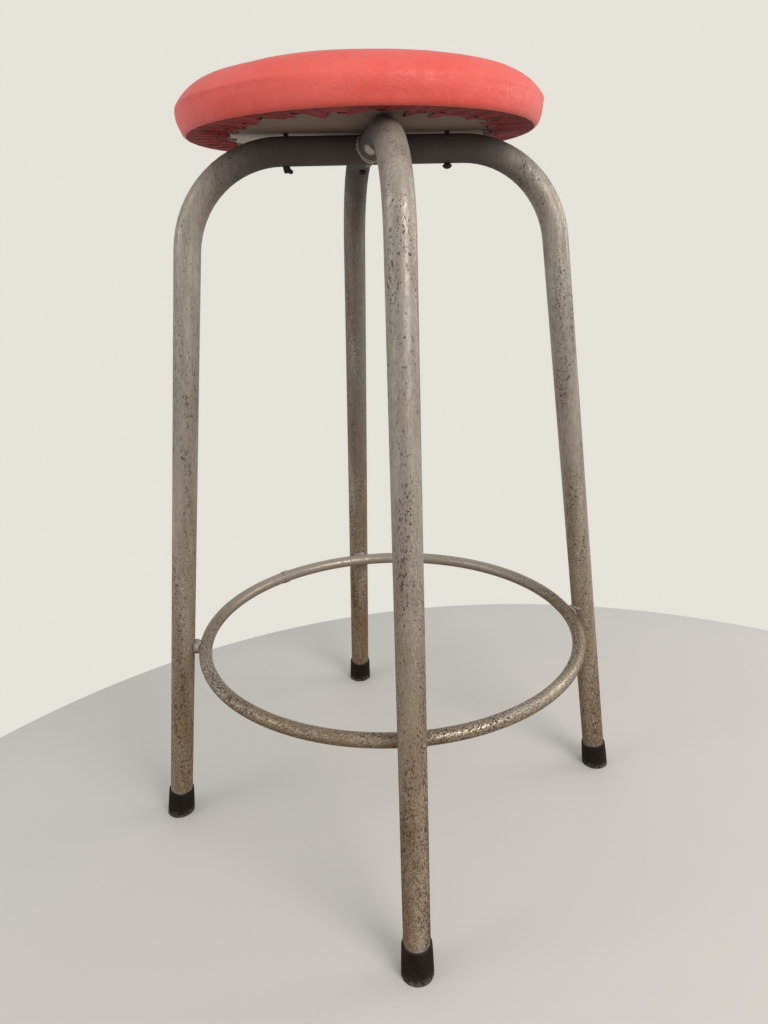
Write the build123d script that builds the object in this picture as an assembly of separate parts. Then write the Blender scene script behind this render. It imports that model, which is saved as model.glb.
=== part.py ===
from build123d import *
import math
import os

# Round stool for a bar or counter: two bent tube hoops cross under a padded
# round seat, and a bar ring inside the four legs is the footrest.
# +Z is up, -Y is the front and -X is the left. The origin is on the floor,
# midway between the four feet. Millimetres and degrees.

# Frame tube
TUBE_DIA = 25.4
TUBE_WALL = 1.6
BEND_RADIUS = 95.0       # centreline of the bend at the top of each leg
HALF_TOP = 85.0          # from the crossing to where a bend starts

# Cross hoop: the left and right legs, one continuous tube
CROSS_TOP = 716.0        # height of the centreline of its level run
CROSS_SPLAY = 7.2        # legs lean out from the vertical

# Front and rear legs: two tubes coped and welded to the cross hoop
SIDE_TOP = 718.5
SIDE_SPLAY = 7.1
SIDE_LEAN = 1.1          # their plane leans, so both feet stand to the left
CROSSING_X = -2.5
COPE_START = 5.0         # each tube's trimmed end, short of the crossing

# Footrest ring, a round bar welded inside the legs
RING_BAR = 14.0
RING_RADIUS = 209.0      # centreline
RING_HEIGHT = 217.0
RING_X = 2.5             # it bears on the right leg, a little off centre

# Seat, screwed on a little left of the crossing and behind it
SEAT_X = -10.0
SEAT_Y = 12.0
BOARD_RADIUS = 158.0
BOARD_THICK = 12.0
COVER_THICK = 1.2
HEM_THICK = 2.5          # folds and pleats lie two deep under the board
HEM_RADIUS = 124.0       # cut edge of the cover under the board
RIM_RADIUS = 162.0       # lower edge of the side band
BAND_RADIUS = 168.2      # widest, at the top of the side band
BAND_HEIGHT = 21.5
BAND_EDGE = 4.0          # soft fold between the band and the crown
CROWN_RADIUS = 142.0     # where the flatter crown turns down
CROWN_EDGE_RISE = 19.5   # from the band up to there
CROWN_RISE = 15.0        # from there to the middle of the seat

# Staples through the hem into the board
STAPLE_COUNT = 28
STAPLE_RADIUS = 143.0
STAPLE_CROWN = 10.0
STAPLE_LEG = 7.0
STAPLE_WIRE = 1.1

# Seat screws, up through the tubes into the board
LEFT_SCREW_X = -80.0
RIGHT_SCREW_X = 70.0
SIDE_SCREW_Y = 76.0
SCREW_DIA = 4.8
SCREW_LENGTH = 36.0
SCREW_HOLE = 5.4
HEAD_DIA = 9.6
HEAD_HEIGHT = 3.2
HEAD_EDGE = 0.9
SLOT_WIDTH = 1.4
SLOT_DEPTH = 1.5

# Rubber tips and the steel washers inside them
TIP_HEIGHT = 32.0
TIP_BOTTOM_DIA = 31.0
TIP_TOP_DIA = 28.8
TIP_EDGE = 1.0
TIP_SOLE = 6.0
TIP_BELOW = 3.0          # moulded this much longer, then level with the floor
WASHER_DIA = 24.4
WASHER_THICK = 1.4
WASHER_HOLE = 9.0

# Weld beads
BEAD_RADIUS = 8.6
COLLAR_REACH = 18.5      # how far the crossing weld runs along a side tube
COLLAR_GROWTH = 4.2
COLLAR_FEATHER = 0.3
COLLAR_TRIM = 0.3        # it stays this far under the board
SEAM_GROWTH = 1.1
SEAM_LENGTH = 9.0
SEAM_ANGLE = 125.0

# Worked out from the sizes above
TUBE_R = TUBE_DIA / 2
BORE_R = TUBE_R - TUBE_WALL
BOARD_BOTTOM = SIDE_TOP + TUBE_R
BOARD_TOP = BOARD_BOTTOM + BOARD_THICK
FOLD = BOARD_BOTTOM - HEM_THICK
BAND_TOP = FOLD + BAND_HEIGHT
LEG_START = TIP_SOLE + WASHER_THICK
LEAN_AXIS = Axis((CROSSING_X, 0, SIDE_TOP), (0, 1, 0))
SIDES = ("left", "right", "front", "rear")
CUT = 400.0              # larger than anything that it trims


def foot_spread(top, splay):
    """Distance from the middle to where a leg's centreline meets the floor."""
    a = math.radians(splay)
    bend_end = top - BEND_RADIUS + BEND_RADIUS * math.sin(a)
    return HALF_TOP + BEND_RADIUS * math.cos(a) + bend_end * math.tan(a)


def bend_corner(splay):
    """Distance from the middle to where a leg's line meets the level line."""
    return HALF_TOP + BEND_RADIUS * math.tan(math.radians(90 - splay) / 2)


# ---- frame ----

def on_leg(side, shape):
    """Stand a shape on a foot, with its Z along that leg."""
    if side in ("left", "right"):
        way = -1 if side == "left" else 1
        foot = (way * foot_spread(CROSS_TOP, CROSS_SPLAY), 0, 0)
        return Pos(*foot) * Rot(0, -way * CROSS_SPLAY, 0) * shape
    way = -1 if side == "front" else 1
    foot = (CROSSING_X, way * foot_spread(SIDE_TOP, SIDE_SPLAY), 0)
    return (Pos(*foot) * Rot(way * SIDE_SPLAY, 0, 0) * shape).rotate(LEAN_AXIS, SIDE_LEAN)


def tube_along(path):
    """Round tube swept along a path."""
    start = Plane(origin=path @ 0, z_dir=path % 0)
    outer = sweep(start * Circle(TUBE_R), path=path)
    bore = sweep(start * Circle(BORE_R), path=path)
    return outer - bore


def cross_path():
    a = math.radians(CROSS_SPLAY)
    foot_x = foot_spread(CROSS_TOP, CROSS_SPLAY) - LEG_START * math.sin(a)
    foot_z = LEG_START * math.cos(a)
    corner = bend_corner(CROSS_SPLAY)
    points = [(-foot_x, 0, foot_z), (-corner, 0, CROSS_TOP), (corner, 0, CROSS_TOP), (foot_x, 0, foot_z)]
    return FilletPolyline(*points, radius=BEND_RADIUS)


def side_path(way):
    """Front (way -1) or rear (way 1) leg from its foot to the crossing, leaning."""
    a = math.radians(SIDE_SPLAY)
    foot_y = foot_spread(SIDE_TOP, SIDE_SPLAY) - LEG_START * math.sin(a)
    foot = (CROSSING_X, way * foot_y, LEG_START * math.cos(a))
    corner = (CROSSING_X, way * bend_corner(SIDE_SPLAY), SIDE_TOP)
    end = (CROSSING_X, way * COPE_START, SIDE_TOP)
    return FilletPolyline(foot, corner, end, radius=BEND_RADIUS).rotate(LEAN_AXIS, SIDE_LEAN)


def cross_bar():
    """The cross hoop's level run, solid, for trimming what meets it."""
    return Pos(0, 0, CROSS_TOP) * Rot(0, 90, 0) * Cylinder(TUBE_R, 2 * HALF_TOP)


def screw_head_place(side):
    """Where a seat screw's head meets the underside of its tube."""
    return {
        "left": Pos(LEFT_SCREW_X, 0, CROSS_TOP - TUBE_R),
        "right": Pos(RIGHT_SCREW_X, 0, CROSS_TOP - TUBE_R),
        "front": Pos(CROSSING_X, -SIDE_SCREW_Y, SIDE_TOP - TUBE_R),
        "rear": Pos(CROSSING_X, SIDE_SCREW_Y, SIDE_TOP - TUBE_R),
    }[side]


def screw_clearance(side):
    return screw_head_place(side) * Pos(0, 0, TUBE_R) * Cylinder(SCREW_HOLE / 2, 2 * TUBE_DIA)


def cross_hoop():
    return tube_along(cross_path()) - screw_clearance("left") - screw_clearance("right")


def side_leg(side):
    way = -1 if side == "front" else 1
    return tube_along(side_path(way)) - cross_bar() - screw_clearance(side)


def crossing_weld(side):
    """Collar of weld round a side tube's end, open at the top under the board."""
    way = -1 if side == "front" else 1
    length = COLLAR_REACH - COPE_START
    middle = Pos(CROSSING_X, way * (COPE_START + length / 2), SIDE_TOP) * Rot(-90 * way, 0, 0)
    collar = middle * Cone(TUBE_R + COLLAR_GROWTH, TUBE_R + COLLAR_FEATHER, length)
    collar -= middle * Cylinder(TUBE_R, 2 * length)
    collar -= cross_bar()
    board = Pos(CROSSING_X, 0, BOARD_BOTTOM - COLLAR_TRIM + CUT / 2) * Box(CUT, CUT, CUT)
    return largest(collar - board)


def largest(shape):
    """The main solid of a trimmed bead, without slivers."""
    return shape.solids().sort_by(SortBy.VOLUME)[-1]


# ---- footrest ----

def footrest_ring():
    return Pos(RING_X, 0, RING_HEIGHT) * Torus(RING_RADIUS, RING_BAR / 2)


def ring_weld(side):
    """Bead in the gap between the ring and a leg."""
    leg = on_leg(side, Pos(0, 0, RING_HEIGHT) * Cylinder(TUBE_R, RING_HEIGHT))
    axis = leg.center()
    out = Vector(axis.X - RING_X, axis.Y, 0)
    gap_middle = out.normalized() * ((RING_RADIUS + RING_BAR / 2 + out.length - TUBE_R) / 2)
    bead = Pos(RING_X + gap_middle.X, gap_middle.Y, RING_HEIGHT) * Sphere(BEAD_RADIUS)
    return largest(bead - leg - footrest_ring())


def ring_seam_weld():
    """Low collar where the bent bar's two ends are joined."""
    collar = Rot(90, 0, 0) * Cylinder(RING_BAR / 2 + SEAM_GROWTH, SEAM_LENGTH)
    collar = fillet(collar.edges().filter_by(GeomType.CIRCLE), SEAM_GROWTH - 0.2)
    place = Pos(RING_X, 0, RING_HEIGHT) * Rot(0, 0, SEAM_ANGLE) * Pos(RING_RADIUS, 0, 0)
    return largest(place * collar - footrest_ring())


# ---- seat ----

def cushion(inset, bottom):
    """Upholstered shape drawn in by inset and closed flat at the bottom."""
    crown_edge = (CROWN_RADIUS, BAND_TOP + CROWN_EDGE_RISE - inset)
    middle = (0, BAND_TOP + CROWN_EDGE_RISE + CROWN_RISE - inset)
    crown = TangentArc(middle, crown_edge, tangent=(1, 0))
    turn = TangentArc(crown @ 1, (BAND_RADIUS - inset, BAND_TOP), tangent=crown % 1)
    rest = Polyline(turn @ 1, (RIM_RADIUS - inset, bottom), (0, bottom), middle)
    outline = make_face([crown, turn, rest])
    band_edge = outline.vertices().sort_by(Axis.X)[-1]
    outline = fillet(band_edge, BAND_EDGE - inset)
    return Pos(SEAT_X, SEAT_Y, 0) * revolve(Plane.XZ * outline, Axis.Z)


def board_blank():
    return Pos(SEAT_X, SEAT_Y, BOARD_BOTTOM + BOARD_THICK / 2) * Cylinder(BOARD_RADIUS, BOARD_THICK)


def seat_cover(staples):
    shell = cushion(0, FOLD) - cushion(COVER_THICK, BOARD_BOTTOM)
    opening = Pos(SEAT_X, SEAT_Y, FOLD) * Cylinder(HEM_RADIUS, 4 * HEM_THICK)
    return largest(shell - opening) - staples


def seat_foam():
    return cushion(COVER_THICK, BOARD_BOTTOM) - board_blank()


def seat_board(staples):
    board = board_blank()
    for side in SIDES:
        board -= screw_head_place(side) * Pos(0, 0, SCREW_LENGTH / 2) * Cylinder(SCREW_DIA / 2, SCREW_LENGTH)
    return board - staples


def hem_staples():
    """A ring of wire staples: each has a crown across the hem and two legs."""
    crown = Pos(0, 0, -STAPLE_WIRE / 2) * Box(STAPLE_WIRE, STAPLE_CROWN, STAPLE_WIRE)
    leg_y = (STAPLE_CROWN - STAPLE_WIRE) / 2
    leg_height = HEM_THICK + STAPLE_LEG
    leg = Pos(0, 0, leg_height / 2) * Box(STAPLE_WIRE, STAPLE_WIRE, leg_height)
    staple = crown + Pos(0, leg_y, 0) * leg + Pos(0, -leg_y, 0) * leg
    places = PolarLocations(STAPLE_RADIUS, STAPLE_COUNT)
    return Compound(children=[Pos(SEAT_X, SEAT_Y, FOLD) * place * staple for place in places])


def seat_screw(side):
    shank = Pos(0, 0, SCREW_LENGTH / 2) * Cylinder(SCREW_DIA / 2, SCREW_LENGTH)
    shank = chamfer(shank.edges().sort_by(Axis.Z)[-1], SCREW_DIA / 2 - 0.4)
    head = Pos(0, 0, -HEAD_HEIGHT / 2) * Cylinder(HEAD_DIA / 2, HEAD_HEIGHT)
    head = fillet(head.edges().sort_by(Axis.Z)[0], HEAD_EDGE)
    slot = Pos(0, 0, -HEAD_HEIGHT) * Box(2 * HEAD_DIA, SLOT_WIDTH, 2 * SLOT_DEPTH)
    return screw_head_place(side) * (shank + head - slot)


# ---- feet ----

def tip(side):
    """Moulded rubber cup on the end of a leg, its sole level with the floor."""
    low = -TIP_BELOW
    growth = (TIP_BOTTOM_DIA - TIP_TOP_DIA) / (2 * TIP_HEIGHT)
    bottom_r = TIP_BOTTOM_DIA / 2 + TIP_BELOW * growth
    outline = Polyline((0, low), (bottom_r, low), (TIP_TOP_DIA / 2, TIP_HEIGHT), (0, TIP_HEIGHT), close=True)
    body = revolve(Plane.XZ * make_face(outline), Axis.Z)
    body = fillet(body.edges().sort_by(Axis.Z)[-1], TIP_EDGE)
    bore = Pos(0, 0, TIP_SOLE + TIP_HEIGHT / 2) * Cylinder(TUBE_R, TIP_HEIGHT)
    below_floor = Pos(0, 0, -CUT / 2) * Box(3 * CUT, 3 * CUT, CUT)
    return on_leg(side, body - bore) - below_floor


def tip_washer(side):
    washer = Cylinder(WASHER_DIA / 2, WASHER_THICK) - Cylinder(WASHER_HOLE / 2, 2 * WASHER_THICK)
    return on_leg(side, Pos(0, 0, TIP_SOLE + WASHER_THICK / 2) * washer)


def make_parts():
    staples = hem_staples()
    parts = {
        "seat_cover": seat_cover(staples),
        "seat_foam": seat_foam(),
        "seat_board": seat_board(staples),
        "hem_staples": staples,
        "cross_hoop": cross_hoop(),
        "front_leg": side_leg("front"),
        "rear_leg": side_leg("rear"),
        "front_crossing_weld": crossing_weld("front"),
        "rear_crossing_weld": crossing_weld("rear"),
        "footrest_ring": footrest_ring(),
        "ring_seam_weld": ring_seam_weld(),
    }
    for side in SIDES:
        parts[f"seat_screw_{side}"] = seat_screw(side)
        parts[f"ring_weld_{side}"] = ring_weld(side)
        parts[f"tip_{side}"] = tip(side)
        parts[f"tip_washer_{side}"] = tip_washer(side)
    return parts


os.makedirs("parts", exist_ok=True)
for name, shape in make_parts().items():
    export_step(shape, f"parts/{name}.step")
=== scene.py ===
"""Round bar stool: upholstery, finishes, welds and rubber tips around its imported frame."""
import math

import bmesh
import bpy
import numpy as np
from bpy.props import FloatProperty, FloatVectorProperty, IntProperty, PointerProperty
from mathutils import Matrix, Vector
from mathutils.bvhtree import BVHTree
from mathutils.geometry import interpolate_bezier


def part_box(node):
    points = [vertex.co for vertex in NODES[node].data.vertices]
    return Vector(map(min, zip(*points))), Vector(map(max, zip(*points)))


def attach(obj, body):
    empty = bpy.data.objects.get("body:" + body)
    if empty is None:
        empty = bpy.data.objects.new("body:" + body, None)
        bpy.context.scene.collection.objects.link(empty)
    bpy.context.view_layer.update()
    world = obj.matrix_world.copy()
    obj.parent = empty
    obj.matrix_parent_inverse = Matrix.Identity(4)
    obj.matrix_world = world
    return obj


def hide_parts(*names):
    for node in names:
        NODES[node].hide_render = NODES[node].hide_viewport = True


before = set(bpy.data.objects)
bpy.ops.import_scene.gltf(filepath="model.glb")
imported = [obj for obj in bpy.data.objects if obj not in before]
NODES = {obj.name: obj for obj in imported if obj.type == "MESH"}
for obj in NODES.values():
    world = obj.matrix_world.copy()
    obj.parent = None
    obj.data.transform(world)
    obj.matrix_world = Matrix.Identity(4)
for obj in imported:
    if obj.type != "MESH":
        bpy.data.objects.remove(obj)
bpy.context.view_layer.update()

SIDES = ("left", "right", "front", "rear")
MM = 0.001
TAU = 2 * math.pi

COVER_LOW, COVER_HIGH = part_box("seat_cover")
BOARD_LOW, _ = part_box("seat_board")
HOOP_LOW, HOOP_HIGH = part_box("cross_hoop")
RING_LOW, RING_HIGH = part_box("footrest_ring")
SEAT_MIDDLE = (COVER_LOW + COVER_HIGH) / 2
RING_MIDDLE = (RING_LOW + RING_HIGH) / 2

# the run of weld onto the right leg: middle, radius and stretch of each lump
RIGHT_WELD_RUN = [(Vector((0.2203, -0.0035, 0.2255)), 0.0031, (1.0, 1.3, 0.9)),
                  (Vector((0.2222, -0.0080, 0.2248)), 0.0029, (1.0, 1.2, 0.9))]
# painted highlight: a bright patch of colour on the front tube's underside
HIGHLIGHT_SPOT = (-0.0105, -0.058, 0.7092)      # under the front tube, beside its screw
RIM_ROUND = 0.0018           # how far in from the rim the rounding under the band ends
EDGE_SINK = 0.0006           # how far the cut edge runs up into the board
FOAM_GAP = 0.0005            # least space between the cover and its foam
STAPLE_HALF = 0.0042         # half the width of a staple's crown
LIP_RISE = 0.0016            # height of the rolled lip on a rubber tip

OPEN_GRAIN = (0.30, 0.23, 0.16, 1.0)
WATER_MARK = (0.26, 0.19, 0.13, 1.0)
AGED_FOAM = (0.62, 0.47, 0.22, 1.0)
CLOUDED_FLOOR = (0.50, 0.47, 0.43, 1.0)
ROOM_LIGHT = (0.95, 0.97, 1.0, 1.0)
STAPLE_COLOURS = ((0.035, 0.026, 0.022), (0.060, 0.030, 0.018))
ZINC_COLOURS = ((0.42, 0.42, 0.41), (0.30, 0.29, 0.27))

bl_info = {
    "name": "Bar stool finisher",
    "version": (1, 0, 0),
    "blender": (4, 5, 0),
    "location": "View3D > Sidebar > Stool",
    "description": "Upholsters and finishes a round bar stool around its packed frame",
    "category": "Object",
}


# ---- what a user may change ----

def length(name, description, millimetres):
    return FloatProperty(name=name, description=description, default=millimetres * MM, min=0.0,
                         unit="LENGTH")


def colour(name, description, rgb):
    return FloatVectorProperty(name=name, description=description, default=rgb, size=3, subtype="COLOR",
                               min=0.0, max=1.0)


def share(name, description, value):
    return FloatProperty(name=name, description=description, default=value, min=0.0, max=1.0,
                         subtype="FACTOR")


class StoolSeatSettings(bpy.types.PropertyGroup):
    """Sizes and colours of the upholstered seat."""
    seat_radius: FloatProperty(name="Seat radius", description="Widest radius, at the top of the side band",
                               default=(COVER_HIGH.x - COVER_LOW.x) / 2, unit="LENGTH")
    rim_inset: length("Rim inset", "How far the band draws in down to the rim", 5.8)
    band_height: length("Band height", "From the rim up to the widest line", 21.5)
    crown_radius: length("Crown radius", "Where the flatter crown turns down to the band", 142.0)
    crown_rise: length("Crown rise", "From the turn up to the middle of the seat", 15.0)
    shoulder_slope: FloatProperty(name="Shoulder slope", default=58.0, min=0.0, max=90.0,
                                  description="Degrees, just above the side band's fold")
    hem_depth: length("Hem depth", "How far the cover is folded in under the board", 42.0)
    cover_thickness: length("Cover thickness", "Thickness of the coated cloth", 1.2)
    pleat_height: length("Pleat height", "How proud the hem's folds stand", 2.3)
    crease_depth: length("Crease depth", "Depth of the small creases round the band", 0.17)
    snip_depth: length("Snip depth", "How far the notches are snipped into the hem", 37.0)
    pleats: IntProperty(name="Pleats", description="Folds round the hem", default=52, min=8)
    snips: IntProperty(name="Snips", description="Notches snipped into the hem's edge", default=27, min=8)
    creases: IntProperty(name="Creases", description="Small creases round the band", default=210, min=0)
    staples: IntProperty(name="Staples", description="Staples through the hem", default=28, min=4)
    cover_colour: colour("Cover", "Coated cloth", (0.800, 0.092, 0.066))
    worn_colour: colour("Rubbed cover", "Cloth where it is rubbed and faded", (0.840, 0.160, 0.125))
    # grime and shade: dirt on the cut edge's backing, and painted shade on the hem under the seat
    grime_and_shade_colour: colour("Soiled cover", "Cloth in the folds of the hem", (0.110, 0.016, 0.017))
    backing_colour: colour("Backing", "Woven back of the coated cloth at the cut edge", (0.520, 0.420, 0.380))
    # painted shade darkens the board's colour; painted light pales it towards the left rear
    shaded_board_colour: colour("Board", "Grey-washed plywood", (0.300, 0.232, 0.180))
    lit_board_colour: colour("Pale board", "Plywood where the wash is thick", (0.700, 0.640, 0.570))
    foam_colour: colour("Foam", "Upholstery foam", (0.800, 0.690, 0.400))


class StoolFrameSettings(bpy.types.PropertyGroup):
    """Colours and wear of the metal frame and its rubber tips."""
    steel_colour: colour("Steel", "Dulled plating on the tubes", (0.450, 0.402, 0.335))
    # dark steel also paints the seat's shade on the tubes near the crossing
    dark_steel_colour: colour("Dark steel", "Plating darkened by handling and shade", (0.084, 0.070, 0.064))
    # painted shade: the rear leg takes a darker copy of the steel for the shade it stands in
    shaded_rear_steel_colour: colour("Rear steel", "Duller plating on the rear leg", (0.235, 0.205, 0.165))
    ring_colour: colour("Ring", "Plating on the footrest ring", (0.265, 0.222, 0.165))
    # warm steel is partly yellowed plating and partly a painted warm reflection low on the legs
    warm_steel_colour: colour("Warm steel", "Yellowed plating low on the legs", (0.280, 0.183, 0.084))
    rust_colour: colour("Rust", "Pits through the plating", (0.060, 0.036, 0.025))
    # bright steel also paints the highlight under the front tube
    bright_colour: colour("Bright steel", "Specks rubbed back to metal", (0.620, 0.570, 0.500))
    weld_colour: colour("Weld", "Weld metal", (0.480, 0.440, 0.385))
    screw_colour: colour("Screws", "Blackened screws", (0.040, 0.032, 0.028))
    rubber_colour: colour("Rubber", "Moulded rubber", (0.0095, 0.0062, 0.0048))
    dust_colour: colour("Dust", "Dust and scuffs on the rubber", (0.150, 0.140, 0.125))
    pitting: share("Pitting", "How much of the plating is pitted", 0.5)
    weld_lumps: length("Weld lumps", "Unevenness of the weld beads", 0.9)


class StoolStageSettings(bpy.types.PropertyGroup):
    """Camera, floor and lights."""
    camera_place: FloatVectorProperty(name="Camera", description="Place of the camera", size=3, unit="LENGTH",
                                      default=(-0.09457, -0.76760, 0.62903), subtype="TRANSLATION")
    camera_turn: FloatProperty(name="Turn", description="Camera's turn to the right", default=0.1206,
                               unit="ROTATION")
    camera_tilt: FloatProperty(name="Tilt", description="Camera's tilt down", default=0.3360,
                               unit="ROTATION")
    camera_roll: FloatProperty(name="Roll", description="Camera's roll", default=-0.0341,
                               unit="ROTATION")
    camera_lens: FloatProperty(name="Lens", description="Focal length on a 36 mm frame", default=26.50,
                               unit="CAMERA")
    floor_colour: colour("Floor", "Plain pale floor", (0.640, 0.610, 0.560))
    bounce_colour: colour("Bounce", "Shade of the floor as it lights the stool", (0.215, 0.130, 0.070))
    wall_colour: colour("Background", "Plain background", (0.790, 0.765, 0.700))
    floor_radius: length("Floor radius", "Radius of the round floor", 900.0)
    ambient: FloatProperty(name="Ambient", description="Strength of the light from all round", default=0.60)
    key_power: FloatProperty(name="Key light", description="Power of the front softbox", default=33.0)
    fill_power: FloatProperty(name="Fill light", description="Power of the right softbox", default=5.0)
    left_power: FloatProperty(name="Left light", description="Power of the left softbox", default=5.5)


# ---- small helpers ----

def linked(obj):
    bpy.context.scene.collection.objects.link(obj)
    return obj


def shade_smooth(mesh):
    mesh.polygons.foreach_set("use_smooth", [True] * len(mesh.polygons))


def mesh_object(name, verts, faces):
    mesh = bpy.data.meshes.new(name)
    mesh.from_pydata([tuple(v) for v in verts], [], faces)
    shade_smooth(mesh)
    mesh.update()
    return linked(bpy.data.objects.new(name, mesh))


def apply_modifiers(obj):
    """Swap the object's mesh for the one that its modifiers make."""
    graph = bpy.context.evaluated_depsgraph_get()
    made = bpy.data.meshes.new_from_object(obj.evaluated_get(graph))
    obj.modifiers.clear()
    obj.data = made


def read_points(mesh):
    flat = np.empty(len(mesh.vertices) * 3)
    mesh.vertices.foreach_get("co", flat)
    return flat.reshape(-1, 3)


def write_points(mesh, points):
    mesh.vertices.foreach_set("co", points.ravel())
    mesh.update()


def smoothstep(low, high, value):
    t = np.clip((value - low) / (high - low), 0.0, 1.0)
    return t * t * (3 - 2 * t)


def lattice_noise(points, seed):
    """Smooth value noise from -1 to 1 at points already scaled to one unit per lump."""
    cell = np.floor(points).astype(np.int64)
    within = points - cell
    within = within * within * (3 - 2 * within)
    total = np.zeros(len(points))
    for corner in np.ndindex(2, 2, 2):
        key = cell + np.array(corner)
        mixed = key[:, 0] * 73856093 ^ key[:, 1] * 19349663 ^ key[:, 2] * 83492791 ^ seed * 2654435
        mixed = (mixed ^ (mixed >> 13)) * 1274126177 & 0x7FFFFFFF
        weight = np.prod(np.where(np.array(corner) == 1, within, 1 - within), axis=1)
        total += weight * ((mixed % 20011) / 10005.0 - 1)
    return total


def vertex_normals(mesh):
    flat = np.empty(len(mesh.vertices) * 3)
    mesh.vertices.foreach_get("normal", flat)
    return flat.reshape(-1, 3)


def stand_off(obj, node, gap):
    """Move any vertex that sits closer than the gap to a CAD node, or inside it, straight out."""
    inner = NODES[node].data
    faces = [tuple(face.vertices) for face in inner.polygons]
    tree = BVHTree.FromPolygons([vertex.co for vertex in inner.vertices], faces)
    points = read_points(obj.data)
    for number, point in enumerate(points):
        place, away, _, _ = tree.find_nearest(Vector(point))
        short = gap - (Vector(point) - place).dot(away)
        if short > 0:
            points[number] += np.array(away) * short
    write_points(obj.data, points)


def finish_piece(obj, slot, *replaced):
    """Ride on the stool's one body and stand for the CAD nodes named."""
    shade_smooth(obj.data)
    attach(obj, "root")
    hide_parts(*replaced)


def dress(node, material):
    """Give a CAD node its finish."""
    obj = NODES[node]
    obj.data.materials.clear()
    obj.data.materials.append(material)


# ---- shader building ----

def put(tree, kind, inputs=None, **settings):
    """Add a node, set its properties, and set or link its inputs by name or number."""
    node = tree.nodes.new(kind)
    for key, value in settings.items():
        setattr(node, key, value)
    for key, value in (inputs or {}).items():
        if isinstance(value, bpy.types.NodeSocket):
            tree.links.new(value, node.inputs[key])
        else:
            node.inputs[key].default_value = value
    return node


def maths(tree, operation, a, b=0.0, clamp=False):
    return put(tree, "ShaderNodeMath", {0: a, 1: b}, operation=operation, use_clamp=clamp).outputs[0]


def times(tree, a, b):
    return maths(tree, "MULTIPLY", a, b)


def plus(tree, a, b):
    return maths(tree, "ADD", a, b)


def minus(tree, a, b):
    return maths(tree, "SUBTRACT", a, b)


def vector_maths(tree, operation, a, b):
    return put(tree, "ShaderNodeVectorMath", {0: a, 1: b}, operation=operation).outputs[0]


def vector_length(tree, vector):
    return put(tree, "ShaderNodeVectorMath", {0: vector}, operation="LENGTH").outputs["Value"]


def noise(tree, place, scale, detail, roughness=0.5, twist=0.0):
    inputs = {"Vector": place, "Scale": scale, "Detail": detail, "Roughness": roughness, "Distortion": twist}
    return put(tree, "ShaderNodeTexNoise", inputs).outputs["Fac"]


def spread(tree, value, low, high):
    """Ramp a value smoothly from 0 at low to 1 at high."""
    inputs = {"Value": value, "From Min": low, "From Max": high}
    return put(tree, "ShaderNodeMapRange", inputs, interpolation_type="SMOOTHSTEP").outputs["Result"]


def blend_colours(tree, amount, under, over):
    inputs = {"Factor": amount, 6: under, 7: over}      # 6, 7 and output 2 are the node's colour sockets
    return put(tree, "ShaderNodeMix", inputs, data_type="RGBA").outputs[2]


def rgba(value):
    return (*value[:3], 1.0)


def effect(name, inputs, outputs, build):
    """Shader node group with named inputs and outputs, made once."""
    tree = bpy.data.node_groups.get(name)
    if tree:
        return tree
    tree = bpy.data.node_groups.new(name, "ShaderNodeTree")
    for label, kind, value in inputs:
        socket = tree.interface.new_socket(label, in_out="INPUT", socket_type=kind)
        socket.default_value = value
    for label, kind in outputs:
        tree.interface.new_socket(label, in_out="OUTPUT", socket_type=kind)
    given = tree.nodes.new("NodeGroupInput")
    made = tree.nodes.new("NodeGroupOutput")
    for label, socket in build(tree, given.outputs).items():
        tree.links.new(socket, made.inputs[label])
    return tree


def use(tree, group, **inputs):
    """Place an effect; an input's spaces are written as underscores."""
    named = {key.replace("_", " "): value for key, value in inputs.items()}
    return put(tree, "ShaderNodeGroup", named, node_tree=group).outputs


FLOAT, VECTOR = "NodeSocketFloat", "NodeSocketVector"


def straight_place(tree):
    return put(tree, "ShaderNodeTexCoord").outputs["Object"]


def cloudy_effect():
    """Slow drift between two tones."""
    def build(tree, given):
        clouds = noise(tree, given["Place"], given["Scale"], 5.0, 0.6)
        return {"Mask": spread(tree, clouds, 0.34, 0.66)}
    inputs = [("Place", VECTOR, (0, 0, 0)), ("Scale", FLOAT, 10.0)]
    return effect("cloudy_tone", inputs, [("Mask", FLOAT)], build)


def drift(tree, place, scale):
    return use(tree, cloudy_effect(), Place=place, Scale=scale)["Mask"]


def pits_effect():
    """Small broken flakes that gather in streaks along the metal."""
    def build(tree, given):
        stretched = vector_maths(tree, "MULTIPLY", given["Place"], given["Grain"])
        streaks = noise(tree, stretched, given["Streak Scale"], 4.0, 0.62)
        shortened = vector_maths(tree, "MULTIPLY", given["Place"], given["Fleck Grain"])
        flecks = noise(tree, shortened, given["Fleck Scale"], 3.0, 0.60)
        gathered = plus(tree, times(tree, streaks, 0.40), times(tree, flecks, 0.84))
        limit = minus(tree, 0.76, times(tree, given["Amount"], 0.13))
        over = minus(tree, gathered, limit)
        return {"Mask": spread(tree, over, 0.0, 0.024), "Streak": spread(tree, streaks, 0.38, 0.66)}
    inputs = [("Place", VECTOR, (0, 0, 0)), ("Grain", VECTOR, (1, 1, 0.1)),
              ("Fleck Grain", VECTOR, (1, 1, 0.45)), ("Streak Scale", FLOAT, 120.0),
              ("Fleck Scale", FLOAT, 420.0), ("Amount", FLOAT, 0.5)]
    return effect("streaky_pits", inputs, [("Mask", FLOAT), ("Streak", FLOAT)], build)


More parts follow.
